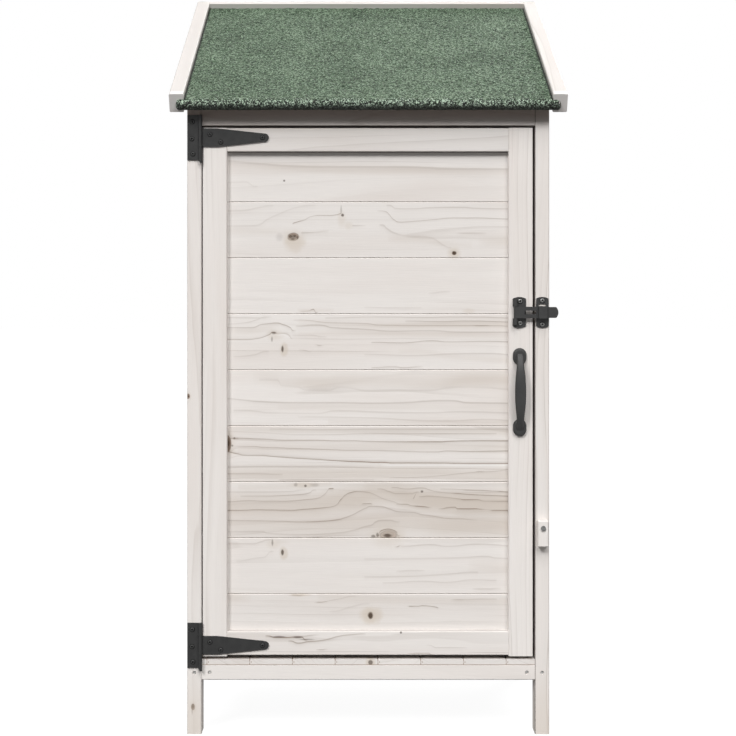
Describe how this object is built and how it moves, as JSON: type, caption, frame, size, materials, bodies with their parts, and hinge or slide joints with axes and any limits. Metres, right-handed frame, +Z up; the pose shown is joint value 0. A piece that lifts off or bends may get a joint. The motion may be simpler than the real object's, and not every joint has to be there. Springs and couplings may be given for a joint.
{
  "type": "wooden garden shed",
  "caption": "Tall narrow garden tool shed on legs: boarded walls, framed boarded door with strap hinges, pull handle, flip latch and turn button, and a felt pent roof.",
  "frame": {"origin": "bottom centre of the whole shed's box, on the ground under its middle", "axes": "+Z up; the door faces -Y; +X towards the latch side"},
  "size_m": [0.775, 0.561, 1.5341],
  "materials": {
    "whitewashed_wood": "whitewashed pine with the grain and knots showing",
    "mineral_felt": "green mineral-faced roofing felt",
    "dark_ironwork": "anthracite powder coat, satin",
    "screw_steel": "plain zinc-plated screw"
  },
  "bodies": {
    "frame": {"post_front_left": "whitewashed_wood", "post_front_right": "whitewashed_wood", "post_back_left": "whitewashed_wood", "post_back_right": "whitewashed_wood", "front_header": "whitewashed_wood", "back_header": "whitewashed_wood", "top_rail_left": "whitewashed_wood", "top_rail_right": "whitewashed_wood", "front_sill": "whitewashed_wood", "back_sill": "whitewashed_wood", "side_sill_left": "whitewashed_wood", "side_sill_right": "whitewashed_wood", "floor": "whitewashed_wood", "left_wall": "whitewashed_wood", "right_wall": "whitewashed_wood", "back_wall": "whitewashed_wood", "roof_board": "whitewashed_wood", "roof_front_lath": "whitewashed_wood", "roof_batten_left": "whitewashed_wood", "roof_batten_right": "whitewashed_wood", "roof_back_board": "whitewashed_wood", "roof_felt": "mineral_felt", "hinge_top_plate": "dark_ironwork", "hinge_bottom_plate": "dark_ironwork", "hinge_top_pin": "dark_ironwork", "hinge_bottom_pin": "dark_ironwork", "latch_keeper": "dark_ironwork", "turn_button_screw": "screw_steel"},
    "door": {"door_stile_left": "whitewashed_wood", "door_stile_right": "whitewashed_wood", "door_rail_top": "whitewashed_wood", "door_rail_bottom": "whitewashed_wood", "door_panel": "whitewashed_wood", "door_handle": "dark_ironwork", "hinge_top_strap": "dark_ironwork", "hinge_bottom_strap": "dark_ironwork", "latch_base": "dark_ironwork", "latch_pin": "dark_ironwork"},
    "latch_arm": {"latch_arm": "dark_ironwork"},
    "turn_button": {"turn_button": "whitewashed_wood"}
  },
  "joints": [
    {"name": "door_swing", "type": "hinge", "parent": "frame", "child": "door", "pos_m": [-0.3295, -0.24762, 0.175], "axis": [0, 0, -1], "range_deg": [0, 170]},
    {"name": "latch_flip", "type": "hinge", "parent": "door", "child": "latch_arm", "pos_m": [0.288, -0.25012, 0.828], "axis": [0, 0, -1], "range_deg": [0, 170]},
    {"name": "button_turn", "type": "hinge", "parent": "frame", "child": "turn_button", "pos_m": [0.3415, -0.24362, 0.407], "axis": [0, 1, 0], "continuous": true}
  ]
}
